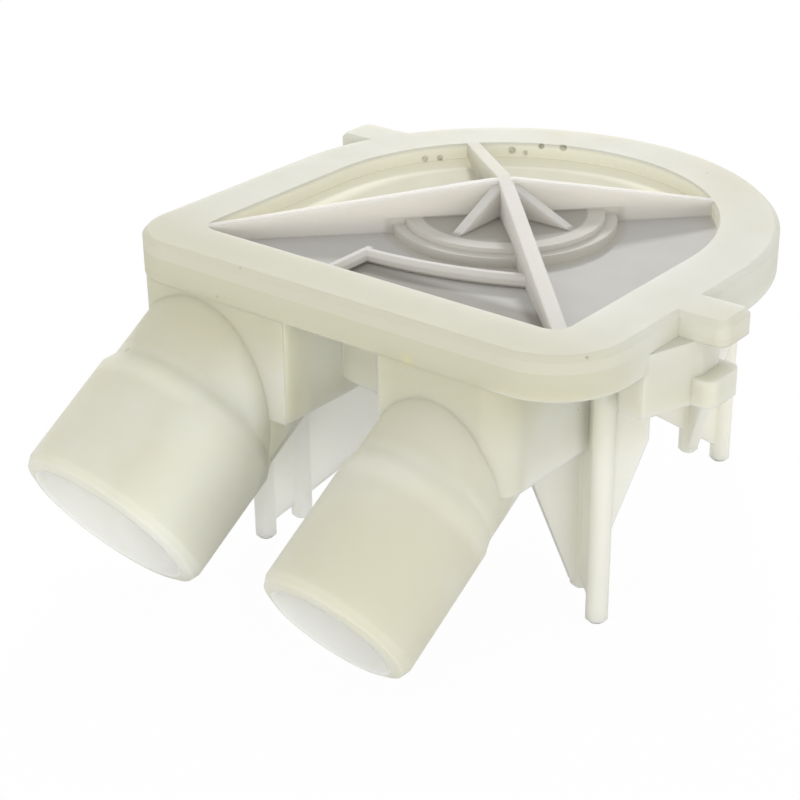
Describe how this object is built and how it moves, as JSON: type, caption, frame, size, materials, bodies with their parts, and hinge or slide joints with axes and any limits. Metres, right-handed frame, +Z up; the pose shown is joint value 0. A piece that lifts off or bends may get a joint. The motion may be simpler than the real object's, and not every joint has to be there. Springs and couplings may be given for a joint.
{
  "type": "washing machine pump",
  "caption": "Two-port washing machine drain pump in natural plastic: ribbed welded cover, inclined hose spigots, pin legs and a D-bore impeller that a motor shaft drives.",
  "frame": {"origin": "on the drive axis, in the plane of the four outer leg tips", "axes": "+Z up along the drive axis from the motor to the cover, ports towards -Y, larger port at -X"},
  "size_m": [0.1126, 0.1329, 0.0661],
  "materials": {
    "body_plastic": "natural see-through polypropylene, satin",
    "cover_plastic": "natural see-through polypropylene, satin",
    "impeller_plastic": "natural polypropylene, satin",
    "seal_rubber": "black nitrile rubber",
    "spring_steel": "bright spring steel",
    "bush_bronze": "sintered bronze",
    "washer_plastic": "acetal"
  },
  "bodies": {
    "housing": {"pump_body": "body_plastic", "cover": "cover_plastic", "shaft_seal": "seal_rubber", "garter_spring": "spring_steel", "bearing_bush": "bush_bronze", "thrust_washer": "washer_plastic"},
    "rotor": {"impeller": "impeller_plastic", "retaining_ring": "spring_steel"}
  },
  "joints": [
    {"name": "impeller_spin", "type": "hinge", "parent": "housing", "child": "rotor", "pos_m": [0, 0, 0], "axis": [0, 0, 1], "continuous": true}
  ]
}
